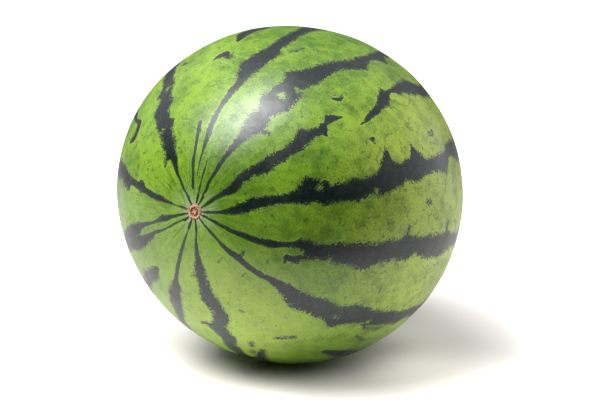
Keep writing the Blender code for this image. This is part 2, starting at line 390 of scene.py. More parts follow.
# Roots that carry the stripes on towards the scar: the angle where they start, the angle under which a
# stripe begins that has one, how far they reach into it, and their half width in mm
ROOT_START = 2.6
ROOTS_UNDER = 6.0
ROOT_OVERLAP = 1
ROOT_HALF_WIDTH = 0.4

# Narrow stripes have calmer edges: the least share, and the half widths in mm that it grows between
LEAST_RAGGED = 0.12
RAGGED_WIDTHS = (0.8, 5.5)

# Depths in mm: where there is no stripe yet, and the most that is stored
NOWHERE = -1e3
DEPTH_LIMIT = 14.0

# Sides where the ground is yellower, and lighter as painted light: a direction from the fruit's middle, and
# the cosines it fades between
LIT_LIME_SIDES = (((0.97, 0.1, 0.05), 0.45, 0.95), ((0.15, -0.75, -0.64), 0.80, 1.14))

# Sides where the ground is a deeper green as painted shade, the same way
SHADED_SIDES = (
    ((0.33, -0.22, 0.92), 0.75, 0.97), ((0.70, -0.70, -0.05), 0.84, 0.99),
    ((0.37, -0.91, 0.16), 0.89, 0.985), ((0.38, -0.36, -0.85), 0.90, 1.0),
)

# The side where the ground is plainer, the same way
PLAIN_SIDES = (((0.05, -0.77, -0.64), 0.70, 0.95),)

# Points each way of the grid that the fruit's resting place is worked out from
PLACING_GRID = 361

# Mesh of the rind: most rings lie towards the blossom end, where the stripes have their detail. Fine lumps
# are how much finer than the others, and their share of the height
FRONT_REACH = radians(104)
FRONT_SHARE = 0.71
LUMP_SIZE = 0.03
FINE_LUMPS = (2.7, 0.4)
WELD = 1e-5

# Mesh of the scars. The base is drawn in to these shares of the rim. A torn rim is how fine, and the share
# of the radius that it reaches. Lumps are how fine, and their height in mm
SCAR_RINGS = 36
SCAR_SEGMENTS = 120
SCAR_SINK = 1.2 * MM
SCAR_BASE = (0.9, 0.45, 0)
RECESS_EDGE = (0.55, 0.98)
RECESS_DEPTH = 1.1 * SCAR_SINK
TORN_RIM = ((2.2, 0.24), (7.0, 0.16))
TORN_DRIFT = 0.5
CRACKS = 7.0
CRACK_DRIFT = 0.35
CRACK_WIDTH = 0.14
CRACK_DEPTH = 2.4
SCAR_LUMPS = (0.9, 0.26)

# In the patterns below a noise is a size in mm, then detail and roughness where they aren't the usual ones.
# A bend is the size and reach of a slow warp in mm. A band is the two values that a soft step lies between.
# Rays are how much they change along the axis per mm, then a noise on a circle whose radius is one.

# Fibres that spread from the middles of cells
FIBRE_DETAIL = 1.0
FIBRE_SEEDS = 40.0

# Stripe edges. Teeth are a cell size, the distance taken as even, and a reach. Fibres are a cell size, a
# fineness and a reach
EDGE_BEND = (6.0, 1.2)
EDGE_TEETH = ((8.0, 0.50, 2.0), (3.4, 0.48, 1.4), (1.6, 0.48, 1.5), (0.8, 0.48, 0.6))
EDGE_FIBRES = ((8.0, 6.0, 1.0), (3.4, 3.6, 0.7))
EDGE_FIBRE_BAND = (0.34, 0.66)
EDGE_SOFTNESS = 0.15

# Pale and dark flecks along the edges: how near the edge, their noise, and the band and reach of each kind
FLECK_ZONE = (1.2, 4.2)
FLECK_NOISE = (1.1, 1.0)
FLECKS = (((0.62, 0.70), -2.4), ((0.34, 0.27), 1.8))

# Inside of the stripes
THREAD_BEND = (5.0, 2.0)
THREAD_STRETCH = (1, 0.3, 1)
THREAD_NOISE = (1.6, 3.0)
THREAD_BAND = (0.48, 0.72)
RIM_BAND = (0.1, 1.5)

# Deeper and lighter ground: clouds, cells, fibres, grain and rays with their weights, and how deep a level
# makes the full deep green. END_LOOK is where the look of the ends gives way, in mm from the axis
GROUND_BEND = (9.0, 2.5)
END_LOOK = (12.0, 62.0)
CLOUD_NOISE = (30.0, 3.0)
CLOUD_BAND = (0.30, 0.70)
CLOUD_WEIGHT = 0.36
CELL_SIZE = 8.0
CELL_BAND = (0.15, 0.75)
CELL_WEIGHT = 0.16
GROUND_FIBRES = ((8.0, 5.5, 0.75), (3.4, 3.0, 0.75))
GRAIN_NOISE = (1.1, 2.0, 0.6)
GRAIN_WEIGHT = 0.8
RAYS = (0.004, 0.045, 3.0, 0.6)
RAY_WEIGHT = 1.9
LIME_CALMS = -0.35
PLAIN_CALMS = -0.5
# Painted shade: how much deeper the ground grows on the shaded sides
SHADED_SIDE_WEIGHT = 0.24
DEEP_BAND = (-0.3, 0.85)

# Dark marks on the ground: a broken net, dots, specks and the faint strokes
NET_BEND = (4.0, 1.8)
NET_SIZE = 6.5
NET_BAND = (0.02, 0.09)
NET_WEIGHT = 0.55
TEAR_NOISE = (5.0, 2.0)
TEAR_BAND = (0.48, 0.62)
DOT_BEND = (1.5, 0.8)
DOT_SPACING = 7.5
DOT_BAND = (0.07, 0.15)
DOT_WEIGHT = 0.75
SPECK_NOISE = (1.2, 2.0, 0.65)
SPECK_BAND = (0.60, 0.67)
SPECK_WEIGHT = 0.38
PLAIN_CLEARS = -0.45
FAINT_NOISE = 1.1
FAINT_SHIFT = 0.5
FAINT_BAND = (-0.3, 0.5)
FAINT_WEIGHT = 0.75

# Pale rim along the stripes, and the pale ring and folds round each scar
FRINGE_BAND = (-1.3, -0.3)
FRINGE_GRAIN = (-0.10, 0.12)
FRINGE_WEIGHT = 0.7
RING_NOISE = 2.5
RING_WAVER = 3.0
RING_BAND = (5.5, 9.5)
RING_WEIGHT = 0.75
FOLD_BAND = (0.48, 0.60)
FOLD_REACH = (7.0, 21.0)
FOLD_WEIGHT = 0.85

# Relief of the skin. Dents: noise size, detail and height in mm
DENTS = ((7.0, 2.0, 0.16), (2.4, 1.0, 0.05), (0.9, 2.0, 0.03))
PORE_SPACING = 2.1
PORE_BAND = (0.05, 0.30)
PORE_DEPTH = 0.012
PLEATS = (0.003, 0.08, 2.0)
PLEAT_REACH = (5.0, 40.0)
PLEAT_HEIGHT = 0.45

# Shine of the skin
BLOOM_NOISE = (16.0, 3.0)
BLOOM_BAND = (0.3, 0.7)
BLOOM_SPREAD = (-0.05, 0.06)
WAX_SHEEN = 0.70

# Cork: its noises, how they mix into the tone, and the heights of rays, crumbs, pits and rings in mm
CORK_BEND = (1.3, 1.3)
CORK_RAYS = (0.05, 0.11, 3.0, 0.6)
CRUMB_NOISE = (0.75, 2.0, 0.6)
PIT_SPACING = 0.8
PIT_BAND = (0.10, 0.40)
RAY_TONE = 0.3
CRUMB_TONE = 0.7
CORK_HEIGHTS = (0.16, 0.14, 0.06, 0.02)
PALE_TONES = (0.50, 0.60)
BROWN_TONES = (0.38, 0.47)
TONE_STRENGTH = 0.85
ROUGH_TONES = (0.3, 0.7)
ROUGH_SPREAD = (0.08, -0.1)
BLOSSOM_RING_WIDTH = 0.8
STEM_RING_WIDTH = 0.9

# Floor: bands of the distance from its middle in metres, and for its sides bands of a cosine
FLOOR_REACH = 12.0
FLOOR_SQUARES = 8
FLOOR_ROUGHNESS = 0.7
MOTTLE_NOISE = (0.05, 3.0)
MOTTLE_BAND = (0.3, 0.7)
MOTTLE_WEIGHT = 0.3
MOTTLE_WHITE = (0.84, 0.82, 0.81, 1)
UNLIT = (0.02, 0.02, 0.02, 1)
WHITE = (1, 1, 1, 1)
# Painted light: where the floor glows, and where it is brightened for the camera
GLOW_STARTS = (0.045, 0.095)
GLOW_ENDS = (0.22, 0.30)
GLOW_SIDE = (0.5, 0.95)
VEIL_SIDE = (0.4, 0.9)
VEIL_STARTS = (0.035, 0.085)
FAR_STRENGTH = 1.06

# Studio walls: bands of the cosine to the camera's right, to the front or upwards
LEFT_WALL_BAND = (-0.5, 0.0)
WALL_FRONT_BAND = (0.4, -0.1)
WALL_BACK_BAND = (-0.7, -0.2)
WALL_TOP_BAND = (0.7, 0.35)
CEILING_BAND = (0.5, 0.95)
BACK_WALL_BAND = (-0.2, -0.7)

# Camera and lights
CLIP_START = 0.01
LIGHT_DISTANCE = 1.2

# Where the key light hangs, to the right, up and towards the camera, then its long side and its size
KEY = ((-0.39, 0.785, 0.46), (0.8, 0.6, 0.0), (1.1, 0.72))
KEY_CORE = ((-0.38, 0.755, 0.52), (0.8, 0.6, 0.0), (0.6, 0.42))

# The weaker lights: the same three, then the power in watts
FILL_LIGHTS = {
    "right": ((0.92, 0.25, -0.08), (0, 0, 1), (1.5, 1.2), 1.9),
    "right_behind": ((0.93, 0.12, -0.35), (0, 0, 1), (0.9, 0.9), 2.0),
    "right_front": ((0.80, 0.40, 0.45), (0, 0, 1), (0.8, 0.8), 0.7),
    "back_left": ((-0.65, 0.65, -0.35), (1, 0, 0), (1.0, 1.0), 1.7),
    "back_right": ((0.65, 0.65, -0.35), (1, 0, 0), (1.0, 1.0), 0.9),
}


def smooth_step(value, low, high):
    share = np.clip((value - low) / (high - low), 0, 1)
    return share * share * (3 - 2 * share)


def dimple(shape, radius, at_stem):
    """How far the end is pressed in at this distance from the axis."""
    if at_stem:
        return shape.stem_dimple_depth * np.exp(-((radius / shape.stem_dimple_radius) ** 2))
    return shape.blossom_dimple_depth * np.exp(-((radius / shape.blossom_dimple_radius) ** 2))


def outline(shape, angle):
    """Distance from the axis and place along it, for angles from the blossom end."""
    radius = shape.width / 2 * np.sin(angle)
    pressed = np.where(angle < pi / 2, dimple(shape, radius, False), -dimple(shape, radius, True))
    return radius, -shape.length / 2 * np.cos(angle) + pressed


def swell(shape, turn, radius):
    """How much the cross section grows at this turn round the axis, as a share of its radius."""
    grown = 1 + shape.oval * np.cos(2 * (turn - shape.oval_turn))
    grown += shape.three_cornered * np.cos(3 * (turn - shape.three_cornered_turn))
    fade = (radius / (shape.width / 2)) ** 2 * shape.valley_depth / (shape.width / 2)
    for middle in VALLEY_TURNS:
        away = (turn - radians(middle) + pi) % (2 * pi) - pi
        grown -= np.exp(-((away / shape.valley_half_width) ** 2)) * fade
    return grown


def swollen(shape, points):
    """Points of the plain spun body, moved out to the grown cross section."""
    turn, radius = np.arctan2(points[:, 0], points[:, 2]), np.hypot(points[:, 0], points[:, 2])
    points[:, ::2] *= swell(shape, turn, radius)[:, None]
    return points


def placing(shape):
    """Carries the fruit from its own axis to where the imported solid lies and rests."""
    rows, columns = np.linspace(0, pi, PLACING_GRID), np.linspace(-pi, pi, PLACING_GRID)
    angle, turn = (grid.ravel() for grid in np.meshgrid(rows, columns))
    radius, along = outline(shape, angle)
    points = np.stack([radius * np.sin(turn), along, radius * np.cos(turn)], axis=1)
    points = swollen(shape, points)
    tilt = Matrix.Rotation(-shape.blossom_end_raised, 4, "X")
    points = points @ np.array(tilt.to_3x3()).T
    low, high = Vector(points.min(axis=0)), Vector(points.max(axis=0))
    half = shape.width / 2
    low.z += half - (half**2 - shape.rest_spot_radius**2) ** 0.5
    box_low, box_high = (Vector(corner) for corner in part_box(NODE))
    shift = (box_low + box_high) / 2 - (low + high) / 2
    shift.z = box_low.z - low.z
    return Matrix.Translation(shift) @ tilt


def mesh_points(mesh):
    points = np.empty(len(mesh.vertices) * 3)
    mesh.vertices.foreach_get("co", points)
    return points.reshape(-1, 3)


def spun_body(radii, alongs, segments):
    """An outline spun a full turn round Y, with its ends closed."""
    body = bmesh.new()
    verts = [body.verts.new((0, along, radius)) for radius, along in zip(radii, alongs)]
    edges = [body.edges.new(pair) for pair in zip(verts, verts[1:])]
    bmesh.ops.spin(
        body, geom=verts + edges, cent=(0, 0, 0), axis=(0, 1, 0), angle=2 * pi, steps=segments,
        use_merge=True)
    bmesh.ops.remove_doubles(body, verts=body.verts, dist=WELD)
    return body


def finished_piece(name, body, material):
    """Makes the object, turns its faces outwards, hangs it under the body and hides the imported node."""
    bmesh.ops.recalc_face_normals(body, faces=body.faces)
    mesh = bpy.data.meshes.new(name)
    body.to_mesh(mesh)
    body.free()
    mesh.shade_smooth()
    mesh.materials.append(material)
    piece = bpy.data.objects.new(name, mesh)
    bpy.context.collection.objects.link(piece)
    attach(piece, BODY)
    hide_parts(NODE)
    return piece


def stretch_to_stem(stations, stem_turn, half_width, draw):
    """Adds stations from where the stripe goes out of sight to where it meets the stem end."""
    stations = list(stations)
    start, left, right = stations[-1]
    first_middle, first_half = (left + right) / 2, (right - left) / 2
    phase = draw.uniform(0, 2 * pi)
    angle = start
    while angle < STEM_MEETING:
        angle = min(angle + draw.uniform(*GROWN_STEP), STEM_MEETING)
        settled = float(smooth_step(angle, start, start + SETTLE_OVER))
        share = float(smooth_step(angle, start, STEM_MEETING))
        middle = first_middle + (stem_turn - first_middle) * share
        middle += MEANDER * settled * sin(phase + radians(angle) * MEANDER_BENDS)
        half = first_half + (half_width * draw.uniform(*WIDTH_SPREAD) - first_half) * settled
        sides = [half + draw.gauss(0, RAGGED) * settled for _ in range(2)]
        if draw.random() < SPUR_CHANCE:
            sides[draw.randrange(2)] += draw.uniform(*SPUR_REACH)
        left, right = (max(side, LEAST_HALF_WIDTH) for side in sides)
        stations.append((angle, middle - left, middle + right))
    return stations


def all_stripes(draw):
    stripes = []
    for name, stations in STRIPES.items():
        if name in TO_STEM:
            stations = stretch_to_stem(stations, *TO_STEM[name], draw)
        stripes.append(stations)
    return stripes


def stripe_roots():
    """Thin strokes that carry the stripes on towards the scar."""
    roots = []
    for stations in STRIPES.values():
        angle, left, right = stations[0]
        if angle < ROOTS_UNDER:
            middle = (left + right) / 2
            roots.append(((ROOT_START, middle, 0.0), (angle + ROOT_OVERLAP, middle, ROOT_HALF_WIDTH)))
    return roots


def far_strokes(draw):
    """Small marks like those at the front, scattered over the side that isn't seen."""
    strokes = []
    for _ in range(FAR_MARKS):
        angle = draw.uniform(*FAR_ANGLES)
        turn = draw.uniform(*(UNSEEN_TURNS if angle < FAR_FROM else ALL_TURNS))
        reach = draw.uniform(*FAR_REACH)
        wide = draw.uniform(*FAR_HALF_WIDTH)
        strokes.append(((angle, turn, wide), (angle + reach, turn + draw.uniform(*FAR_LEAN), wide / 2)))
    return strokes


def stripe_depth(angle, turn, stations, half):
    """How deep each point lies inside a stripe, and the stripe's half width there, in mm."""
    at, left, right = np.array(stations, dtype=float).T
    middle = (left[0] + right[0]) / 2
    turn = (turn - middle + 180) % 360 - 180 + middle
    degree = radians(1) * half
    across = degree * np.sin(np.radians(angle))
    left, right = np.interp(angle, at, left), np.interp(angle, at, right)
    inside = np.minimum(turn - left, right - turn) * across
    inside = np.minimum(inside, np.minimum(angle - at[0], at[-1] - angle) * degree)
    return inside, (right - left) / 2 * across


def ball_points(angle, turn, half):
    angle, turn = np.radians(angle), np.radians(turn)
    across = np.sin(angle)
    return half * np.stack([across * np.sin(turn), -np.cos(angle), across * np.cos(turn)], axis=-1)


def stroke_depth(points, stroke, half):
    """How deep each point lies inside a stroke of changing width, in mm."""
    depth = np.full(len(points), NOWHERE)
    for first, last in zip(stroke, stroke[1:]):
        start, end = ball_points(first[0], first[1], half), ball_points(last[0], last[1], half)
        run = end - start
        share = np.clip((points - start) @ run / (run @ run), 0, 1)
        away = np.linalg.norm(points - start - share[:, None] * run, axis=1)
        depth = np.maximum(depth, first[2] + (last[2] - first[2]) * share - away)
    return depth


def paint_stripes(mesh, shape, place):
    """Stores how deep each point lies inside the stripes and inside the faint marks, in mm."""
    back = np.array(place.inverted())
    points = mesh_points(mesh) @ back[:3, :3].T + back[:3, 3]
    turn = np.arctan2(points[:, 0], points[:, 2])
    across = np.hypot(points[:, 0], points[:, 2])
    across /= swell(shape, turn, across) * shape.width / 2
    angle = np.degrees(np.arctan2(across, -points[:, 1] / (shape.length / 2)))
    turn = np.degrees(turn)
    half = shape.width / 2 / MM
    ball = ball_points(angle, turn, half)
    draw = Random(STRIPE_SEED)
    depth = np.full(len(points), NOWHERE)
    wide = np.zeros(len(points))
    for stations in all_stripes(draw):
        inside, half_width = stripe_depth(angle, turn, stations, half)
        wide = np.where(inside > depth, half_width, wide)
        depth = np.maximum(depth, inside)
    ragged = LEAST_RAGGED + (1 - LEAST_RAGGED) * smooth_step(wide, *RAGGED_WIDTHS)
    for stroke in DARK_STROKES + tuple(stripe_roots() + far_strokes(draw)):
        depth = np.maximum(depth, stroke_depth(ball, stroke, half) + STROKE_GROWTH)
    for at, around, radius in ISLANDS:
        away = np.linalg.norm(ball - ball_points(at, around, half), axis=1)
        depth = np.minimum(depth, away - radius)
    faint = np.full(len(points), NOWHERE)
    for stroke in FAINT_STROKES:
        faint = np.maximum(faint, stroke_depth(ball, stroke, half))
    for name, values in (("stripe_depth", depth), ("stripe_ragged", ragged), ("faint_depth", faint)):
        layer = mesh.attributes.new(name, "FLOAT", "POINT")
        layer.data.foreach_set("value", np.clip(values, -DEPTH_LIMIT, DEPTH_LIMIT))


class Wiring:
    """Adds nodes to one tree. A socket given as an input is linked, and any other value is set."""

    def __init__(self, tree):
        self.tree = tree

    def add(self, kind, inputs, **settings):
        node = self.tree.nodes.new(kind)
        for name, value in settings.items():
            setattr(node, name, value)
        self.feed(node, inputs)
        return node

    def feed(self, node, inputs):
        for name, value in inputs.items():
            if isinstance(value, bpy.types.NodeSocket):
                self.tree.links.new(value, node.inputs[name])
            else:
                node.inputs[name].default_value = value

    def math(self, operation, *values):
        return self.add("ShaderNodeMath", dict(enumerate(values)), operation=operation).outputs[0]

    def times(self, first, second):
        return self.math("MULTIPLY", first, second)

    def times_plus(self, first, second, third):
        return self.math("MULTIPLY_ADD", first, second, third)

    def vector(self, operation, *values):
        return self.add("ShaderNodeVectorMath", dict(enumerate(values)), operation=operation).outputs[0]

    def scaled(self, vector, factor):
        inputs = {0: vector, "Scale": factor}
        return self.add("ShaderNodeVectorMath", inputs, operation="SCALE").outputs[0]

    def length(self, vector):
        return self.add("ShaderNodeVectorMath", {0: vector}, operation="LENGTH").outputs["Value"]

    def noise(self, vector, size, detail=2.0, roughness=0.5, output="Fac"):
        inputs = {"Vector": vector, "Scale": 1 / size, "Detail": detail, "Roughness": roughness}
        return self.add("ShaderNodeTexNoise", inputs).outputs[output]

    def cells(self, vector, size, output="Distance", **settings):
        inputs = {"Vector": vector, "Scale": 1 / size}
        return self.add("ShaderNodeTexVoronoi", inputs, **settings).outputs[output]

    def step(self, value, low, high, bottom=0.0, top=1.0):
        inputs = {"Value": value, "From Min": low, "From Max": high, "To Min": bottom, "To Max": top}
        return self.add("ShaderNodeMapRange", inputs, interpolation_type="SMOOTHSTEP").outputs["Result"]

    def mix(self, factor, first, second):
        return self.add("ShaderNodeMix", {0: factor, 6: first, 7: second}, data_type="RGBA").outputs[2]

    def group(self, tree, inputs):
        return self.add("ShaderNodeGroup", inputs, node_tree=tree).outputs

    def attribute(self, name):
        return self.add("ShaderNodeAttribute", {}, attribute_name=name).outputs["Fac"]

    def bump(self, height):
        inputs = {"Height": height, "Strength": 1.0, "Distance": MM}
        return self.add("ShaderNodeBump", inputs).outputs["Normal"]

    def warped(self, vector, size, reach):
        """The same coordinates, pushed about by soft noise."""
        push = self.vector("SUBTRACT", self.noise(vector, size, output="Color"), (0.5, 0.5, 0.5))
        return self.vector("ADD", vector, self.scaled(push, 2 * reach))

    def across(self, vector):
        """The part of the coordinates that lies across the fruit's axis."""
        return self.vector("MULTIPLY", vector, (1, 0, 1))

    def along(self, vector, way):
        """How far the coordinates reach along one direction."""
        inputs = {0: vector, 1: way}
        return self.add("ShaderNodeVectorMath", inputs, operation="DOT_PRODUCT").outputs["Value"]

    def rays(self, vector, drift, *settings):
        """Noise drawn out into rays that spread from the fruit's axis, and change slowly along them."""
        turned = self.vector("NORMALIZE", self.across(vector))
        return self.noise(self.vector("ADD", turned, self.scaled(vector, drift)), *settings)

    def on_sides(self, outward, sides):
        """How much each point belongs to any of these sides, from 0 to 1."""
        level = 0.0
        for way, low, high in sides:
            level = self.math("MAXIMUM", self.step(self.along(outward, way), low, high), level)
        return level

    def fibres(self, vector, size, fineness):
        """Fibres that spread from the middle of each cell, as noise from 0 to 1."""
        middle = self.cells(vector, size, "Position")
        outward = self.vector("NORMALIZE", self.vector("SUBTRACT", vector, middle))
        seed = self.scaled(self.cells(vector, size, "Color"), FIBRE_SEEDS)
        return self.noise(self.vector("ADD", self.scaled(outward, fineness), seed), 1.0, FIBRE_DETAIL)


def new_group(name, inputs, outputs):
    """A shader node group with these sockets: its wiring, what comes in and what goes out."""
    tree = bpy.data.node_groups.new(name, "ShaderNodeTree")
    for label, kind in inputs.items():
        tree.interface.new_socket(label, in_out="INPUT", socket_type="NodeSocket" + kind)
    for label, kind in outputs.items():
        tree.interface.new_socket(label, in_out="OUTPUT", socket_type="NodeSocket" + kind)
    entry = tree.nodes.new("NodeGroupInput").outputs
    leaving = tree.nodes.new("NodeGroupOutput").inputs
    return tree, Wiring(tree), entry, leaving


def stripe_edge_group():
    """Breaks up the smooth stripe edges into scallops, teeth and flecks. All lengths are in mm."""
    inputs = {"Vector": "Vector", "Depth": "Float", "Ragged": "Float"}
    tree, wires, entry, leaving = new_group("Stripe edge", inputs, {"Mask": "Float", "Edge": "Float"})
    depth, ragged = entry["Depth"], entry["Ragged"]
    bent = wires.warped(entry["Vector"], *EDGE_BEND)
    teeth = 0.0
    for size, even, reach in EDGE_TEETH:
        tooth = wires.math("SUBTRACT", wires.cells(bent, size), even)
        teeth = wires.times_plus(tooth, reach, teeth)
    for size, fineness, reach in EDGE_FIBRES:
        fibres = wires.step(wires.fibres(bent, size, fineness), *EDGE_FIBRE_BAND, -1.0, 1.0)
        teeth = wires.times_plus(fibres, reach, teeth)
    edge = wires.times_plus(teeth, ragged, depth)
    near = wires.times(wires.step(wires.math("ABSOLUTE", depth), *FLECK_ZONE, 1.0, 0.0), ragged)
    flecks = wires.noise(bent, *FLECK_NOISE)
    for band, reach in FLECKS:
        kind = wires.times(wires.step(flecks, *band), near)
        edge = wires.times_plus(kind, reach, edge)
    tree.links.new(wires.step(edge, -EDGE_SOFTNESS, EDGE_SOFTNESS), leaving["Mask"])
    tree.links.new(edge, leaving["Edge"])
    return tree


def ground_group():
    """The pale ground: clouds, lobed cells, feathery fibres, a broken net and dark specks, with painted
    light and painted shade on some sides.
    """
    inputs = {
        "Vector": "Vector", "Edge": "Float", "Faint": "Float", "Light": "Color", "Lime": "Color",
        "Deep": "Color", "Vein": "Color", "Fringe": "Color", "Halo": "Color",
    }
    tree, wires, entry, leaving = new_group("Rind ground", inputs, {"Color": "Color"})
    vector = entry["Vector"]
    bent = wires.warped(vector, *GROUND_BEND)
    radius = wires.length(wires.across(vector))
    at_end = wires.step(radius, *END_LOOK, 1.0, 0.0)
    off_end = wires.math("SUBTRACT", 1.0, at_end)

    deep = wires.times(wires.step(wires.noise(vector, *CLOUD_NOISE), *CLOUD_BAND), CLOUD_WEIGHT)
    rim = wires.step(wires.cells(bent, CELL_SIZE), *CELL_BAND, CELL_WEIGHT, -CELL_WEIGHT)
    deep = wires.times_plus(rim, off_end, deep)
    for size, fineness, weight in GROUND_FIBRES:
        fibres = wires.math("SUBTRACT", wires.fibres(bent, size, fineness), 0.5)
        deep = wires.times_plus(fibres, wires.times(off_end, weight), deep)
    grain = wires.math("SUBTRACT", wires.noise(vector, *GRAIN_NOISE), 0.5)
    deep = wires.times_plus(grain, GRAIN_WEIGHT, deep)
    rays = wires.rays(vector, *RAYS)
    streaks = wires.times(wires.math("SUBTRACT", rays, 0.5), at_end)
    deep = wires.times_plus(streaks, RAY_WEIGHT, deep)

    outward = wires.vector("NORMALIZE", vector)
    # Painted light: on these sides the ground turns to the lighter, yellower lime green
    lit_lime = wires.on_sides(outward, LIT_LIME_SIDES)
    plain = wires.on_sides(outward, PLAIN_SIDES)
    for side, calmer in ((lit_lime, LIME_CALMS), (plain, PLAIN_CALMS)):
        deep = wires.times(deep, wires.times_plus(side, calmer, 1.0))
    # Painted shade: the ground turns a deeper green on the sides in shade
    deep = wires.times_plus(wires.on_sides(outward, SHADED_SIDES), SHADED_SIDE_WEIGHT, deep)
    light = wires.mix(lit_lime, entry["Light"], entry["Lime"])
    colour = wires.mix(wires.step(deep, *DEEP_BAND), light, entry["Deep"])

    net = wires.cells(wires.warped(vector, *NET_BEND), NET_SIZE, feature="DISTANCE_TO_EDGE")
    torn = wires.step(wires.noise(vector, *TEAR_NOISE), *TEAR_BAND, 0.0, NET_WEIGHT)
    marks = wires.times(wires.step(net, *NET_BAND, 1.0, 0.0), torn)
    dots = wires.step(wires.cells(wires.warped(vector, *DOT_BEND), DOT_SPACING), *DOT_BAND, DOT_WEIGHT, 0.0)
    specks = wires.step(wires.noise(bent, *SPECK_NOISE), *SPECK_BAND, 0.0, SPECK_WEIGHT)
    marks = wires.math("MAXIMUM", wires.math("MAXIMUM", marks, dots), specks)
    marks = wires.times(marks, wires.times_plus(plain, PLAIN_CLEARS, 1.0))
    faint = wires.times_plus(wires.noise(bent, FAINT_NOISE), FAINT_SHIFT, entry["Faint"])
    marks = wires.math("MAXIMUM", marks, wires.step(faint, *FAINT_BAND, 0.0, FAINT_WEIGHT))
    colour = wires.mix(marks, colour, entry["Vein"])

    fringe = wires.step(grain, *FRINGE_GRAIN, 0.0, FRINGE_WEIGHT)
    fringe = wires.times(wires.step(entry["Edge"], *FRINGE_BAND), fringe)
    colour = wires.mix(wires.times(fringe, off_end), colour, entry["Fringe"])
    ring = wires.times_plus(wires.noise(vector, RING_NOISE), RING_WAVER, radius)
    ring = wires.step(ring, *RING_BAND, RING_WEIGHT, 0.0)
    folds = wires.times(wires.step(rays, *FOLD_BAND), wires.step(radius, *FOLD_REACH, FOLD_WEIGHT, 0.0))
    colour = wires.mix(wires.math("MAXIMUM", ring, folds), colour, entry["Halo"])
    tree.links.new(colour, leaving["Color"])
    return tree


def skin_relief_group():
    """Height of the waxy skin in mm: soft dents, fine pores, and pleats that run in to the ends."""
    tree, wires, entry, leaving = new_group("Skin relief", {"Vector": "Vector"}, {"Height": "Float"})
    vector = entry["Vector"]
    height = 0.0
    for size, detail, rise in DENTS:
        height = wires.times_plus(wires.noise(vector, size, detail), rise, height)
    pores = wires.step(wires.cells(vector, PORE_SPACING), *PORE_BAND)
    height = wires.times_plus(pores, PORE_DEPTH, height)
    at_end = wires.step(wires.length(wires.across(vector)), *PLEAT_REACH, PLEAT_HEIGHT, 0.0)
    height = wires.times_plus(wires.rays(vector, *PLEATS), at_end, height)
    tree.links.new(height, leaving["Height"])
    return tree


def axis_coordinates(wires, place):
    """Object coordinates turned into the fruit's own axis, in mm: Y runs from blossom to stem."""
    source = wires.add("ShaderNodeTexCoord", {}).outputs["Object"]
    inputs = {"Vector": source, "Location": place.translation, "Rotation": place.to_euler()}
    own = wires.add("ShaderNodeMapping", inputs, vector_type="TEXTURE").outputs["Vector"]
    return wires.scaled(own, 1 / MM)


def new_material(name):
    material = bpy.data.materials.new(name)
    material.use_nodes = True
    return material, Wiring(material.node_tree), material.node_tree.nodes["Principled BSDF"]


def rind_material(look, place):
    material, wires, shader = new_material("striped_rind")
    vector = axis_coordinates(wires, place)
    edge = wires.group(stripe_edge_group(), {
        "Vector": vector, "Depth": wires.attribute("stripe_depth"),
        "Ragged": wires.attribute("stripe_ragged")})
    ground = wires.group(ground_group(), {
        "Vector": vector, "Edge": edge["Edge"], "Faint": wires.attribute("faint_depth"),
        "Light": look.light_green, "Lime": look.lit_lime_green, "Deep": look.deep_green_and_shade,
        "Vein": look.vein_green, "Fringe": look.fringe, "Halo": look.halo})
    relief = wires.group(skin_relief_group(), {"Vector": vector})
    stretched = wires.vector("MULTIPLY", wires.warped(vector, *THREAD_BEND), THREAD_STRETCH)
    threads = wires.step(wires.noise(stretched, *THREAD_NOISE), *THREAD_BAND)
    dark = wires.mix(threads, look.stripe_green, look.stripe_light)
    dark = wires.mix(wires.step(edge["Edge"], *RIM_BAND), look.stripe_rim, dark)
    colour = wires.mix(edge["Mask"], ground["Color"], dark)
    spread = (look.roughness + change for change in BLOOM_SPREAD)
    roughness = wires.step(wires.noise(vector, *BLOOM_NOISE), *BLOOM_BAND, *spread)
    wires.feed(shader, {
        "Base Color": colour, "Roughness": roughness, "Normal": wires.bump(relief["Height"]),
        "Specular IOR Level": WAX_SHEEN})
    return material


def cork_grain_group():
    """Dry cork round an axis: rings torn into fibres, with pits. Lengths are in mm."""
    inputs = {"Vector": "Vector", "Ring Width": "Float"}
    outputs = {"Radius": "Float", "Tone": "Float", "Height": "Float"}
    tree, wires, entry, leaving = new_group("Cork grain", inputs, outputs)
    vector = wires.warped(entry["Vector"], *CORK_BEND)
    radius = wires.length(wires.across(vector))
    rays = wires.rays(vector, *CORK_RAYS)
    crumbs = wires.noise(vector, *CRUMB_NOISE)
    pits = wires.step(wires.cells(vector, PIT_SPACING), *PIT_BAND)
    rings = wires.math("SINE", wires.math("DIVIDE", wires.times(radius, 2 * pi), entry["Ring Width"]))
    tone = wires.times_plus(rays, RAY_TONE, wires.times(crumbs, CRUMB_TONE))
    height = 0.0
    for bumps, rise in zip((rays, crumbs, pits, rings), CORK_HEIGHTS):
        height = wires.times_plus(bumps, rise, height)
    for name, value in (("Radius", radius), ("Tone", tone), ("Height", height)):
        tree.links.new(value, leaving[name])
    return tree


